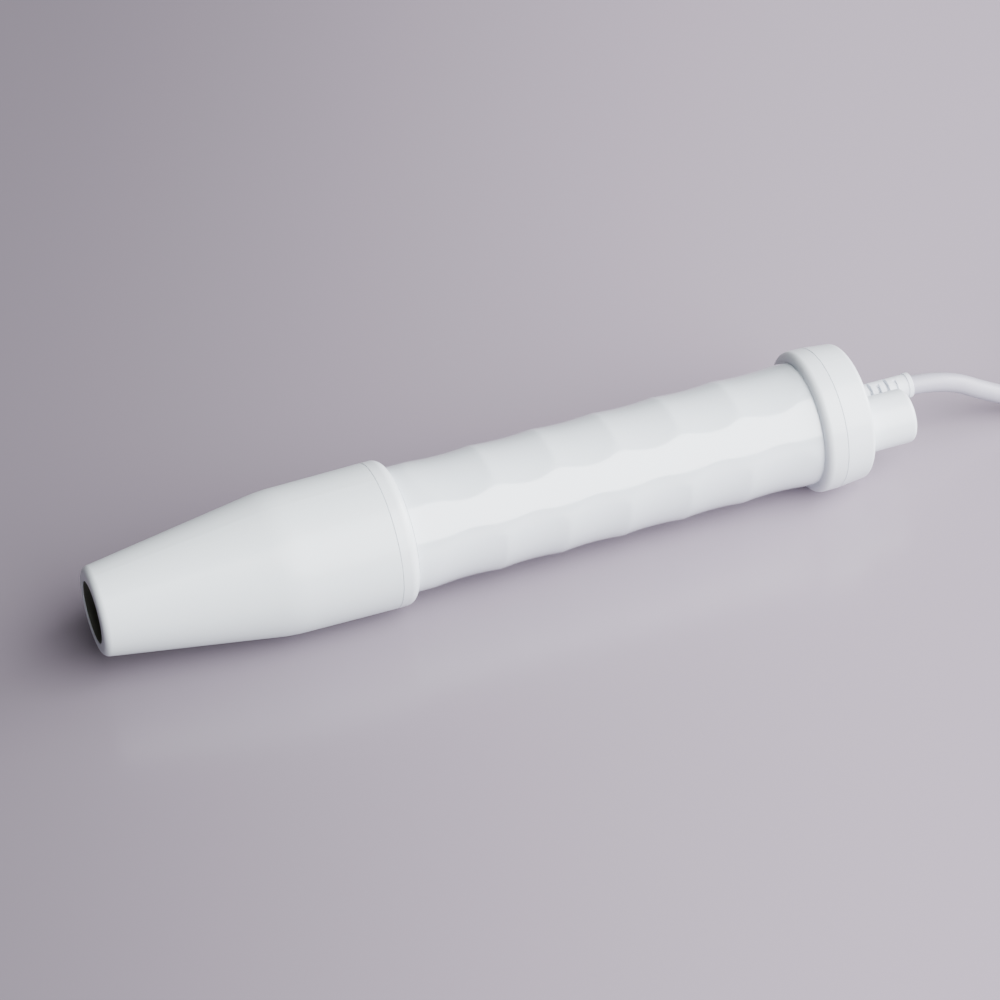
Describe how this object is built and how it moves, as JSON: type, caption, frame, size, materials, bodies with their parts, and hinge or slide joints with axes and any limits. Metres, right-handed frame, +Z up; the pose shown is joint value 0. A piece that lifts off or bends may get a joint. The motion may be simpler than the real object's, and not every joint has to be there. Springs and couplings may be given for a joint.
{
  "type": "ultrasound therapy device",
  "caption": "Hand-held therapy wand with a tapered open nose, a threaded coupling ring, a scooped grip, a rear intensity knob, and a lead with a plug.",
  "frame": {"origin": "on the surface that the wand lies on, under the middle of its length from the nose to the end of the strain relief", "axes": "+X along the centre line from the nose to the rear, +Z up, +Y to the side of the lead"},
  "size_m": [0.4778, 0.0558, 0.044],
  "materials": {
    "shell_white": "satin white moulded plastic",
    "grip_white": "satin white moulded plastic with shallow scoops",
    "collar_white": "semi-gloss white plastic",
    "knob_white": "satin white plastic",
    "liner_silicone": "dark olive silicone",
    "titanium": "turned titanium",
    "carrier_plastic": "black engineering plastic",
    "seal_rubber": "black nitrile",
    "piezo_ceramic": "fired piezo ceramic, silvered faces",
    "electrode_brass": "thin beryllium copper",
    "steel": "plain steel",
    "board_laminate": "green glass laminate",
    "terminal_plastic": "blue moulded terminal",
    "ferrite": "dark grey ferrite",
    "winding_tape": "yellow tape over copper",
    "heatsink_aluminium": "extruded, anodised clear",
    "component_black": "black epoxy",
    "capacitor_sleeve": "dark blue sleeve",
    "wire_insulation": "grey insulation",
    "relief_white": "soft white moulding",
    "cord_jacket": "light grey soft jacket",
    "tie_fabric": "black hook and loop strap",
    "plug_plastic": "grey moulded plastic",
    "plug_metal": "nickel-plated brass",
    "pin_gold": "gold-plated contact"
  },
  "bodies": {
    "handpiece": {"back_mass": "steel", "board_screws": "steel", "cap_gasket": "seal_rubber", "cap_screws": "steel", "chassis": "carrier_plastic", "control_chip": "component_black", "cord": "cord_jacket", "cord_ferrule": "steel", "cord_hank": "cord_jacket", "cord_header": "terminal_plastic", "cord_tail": "cord_jacket", "driver_board": "board_laminate", "electrode_1": "electrode_brass", "electrode_2": "electrode_brass", "electrode_3": "electrode_brass", "electrode_4": "electrode_brass", "filter_capacitor_1": "capacitor_sleeve", "filter_capacitor_2": "capacitor_sleeve", "grip_shell": "grip_white", "hank_ties": "tie_fabric", "heatsink": "heatsink_aluminium", "horn": "titanium", "horn_clamp_ring": "carrier_plastic", "horn_front_seal": "seal_rubber", "horn_rear_seal": "seal_rubber", "inner_lead": "wire_insulation", "insulating_sleeve": "carrier_plastic", "lead_header": "terminal_plastic", "level_pot": "terminal_plastic", "nose_seal_ring": "seal_rubber", "output_transistor_1": "component_black", "output_transistor_2": "component_black", "piezo_ring_1": "piezo_ceramic", "piezo_ring_2": "piezo_ceramic", "piezo_ring_3": "piezo_ceramic", "piezo_ring_4": "piezo_ceramic", "plug_body": "plug_plastic", "plug_boot": "plug_plastic", "plug_insert": "plug_plastic", "plug_pins": "pin_gold", "plug_shell": "plug_metal", "pot_nut": "steel", "pot_ribbon": "wire_insulation", "pot_washer": "steel", "prestress_bolt": "steel", "rear_cap": "shell_white", "rear_ring": "shell_white", "strain_relief": "relief_white", "transducer_carrier": "carrier_plastic", "transducer_leads": "wire_insulation", "transformer_core": "ferrite", "transformer_winding": "winding_tape"},
    "nose": {"nose_cone": "shell_white", "nose_liner": "liner_silicone"},
    "coupling": {"coupling_ring": "collar_white"},
    "knob": {"intensity_knob": "knob_white", "pot_shaft": "steel", "knob_grub_screw": "steel"}
  },
  "joints": [
    {"name": "coupling_turn", "type": "hinge", "parent": "handpiece", "child": "coupling", "pos_m": [-0.0409, 0, 0.022], "axis": [1, 0, 0], "range_deg": [0, 720]},
    {"name": "nose_slide", "type": "slide", "parent": "handpiece", "child": "nose", "axis": [-1, 0, 0], "range_m": [0, 0.003]},
    {"name": "knob_turn", "type": "hinge", "parent": "handpiece", "child": "knob", "pos_m": [0.1141, -0.0086, 0.022], "axis": [-1, 0, 0], "range_deg": [0, 300]}
  ],
  "couplings": [
    {"joint": "coupling_turn", "follows": "nose_slide", "rad_per_m": 4188.8}
  ]
}
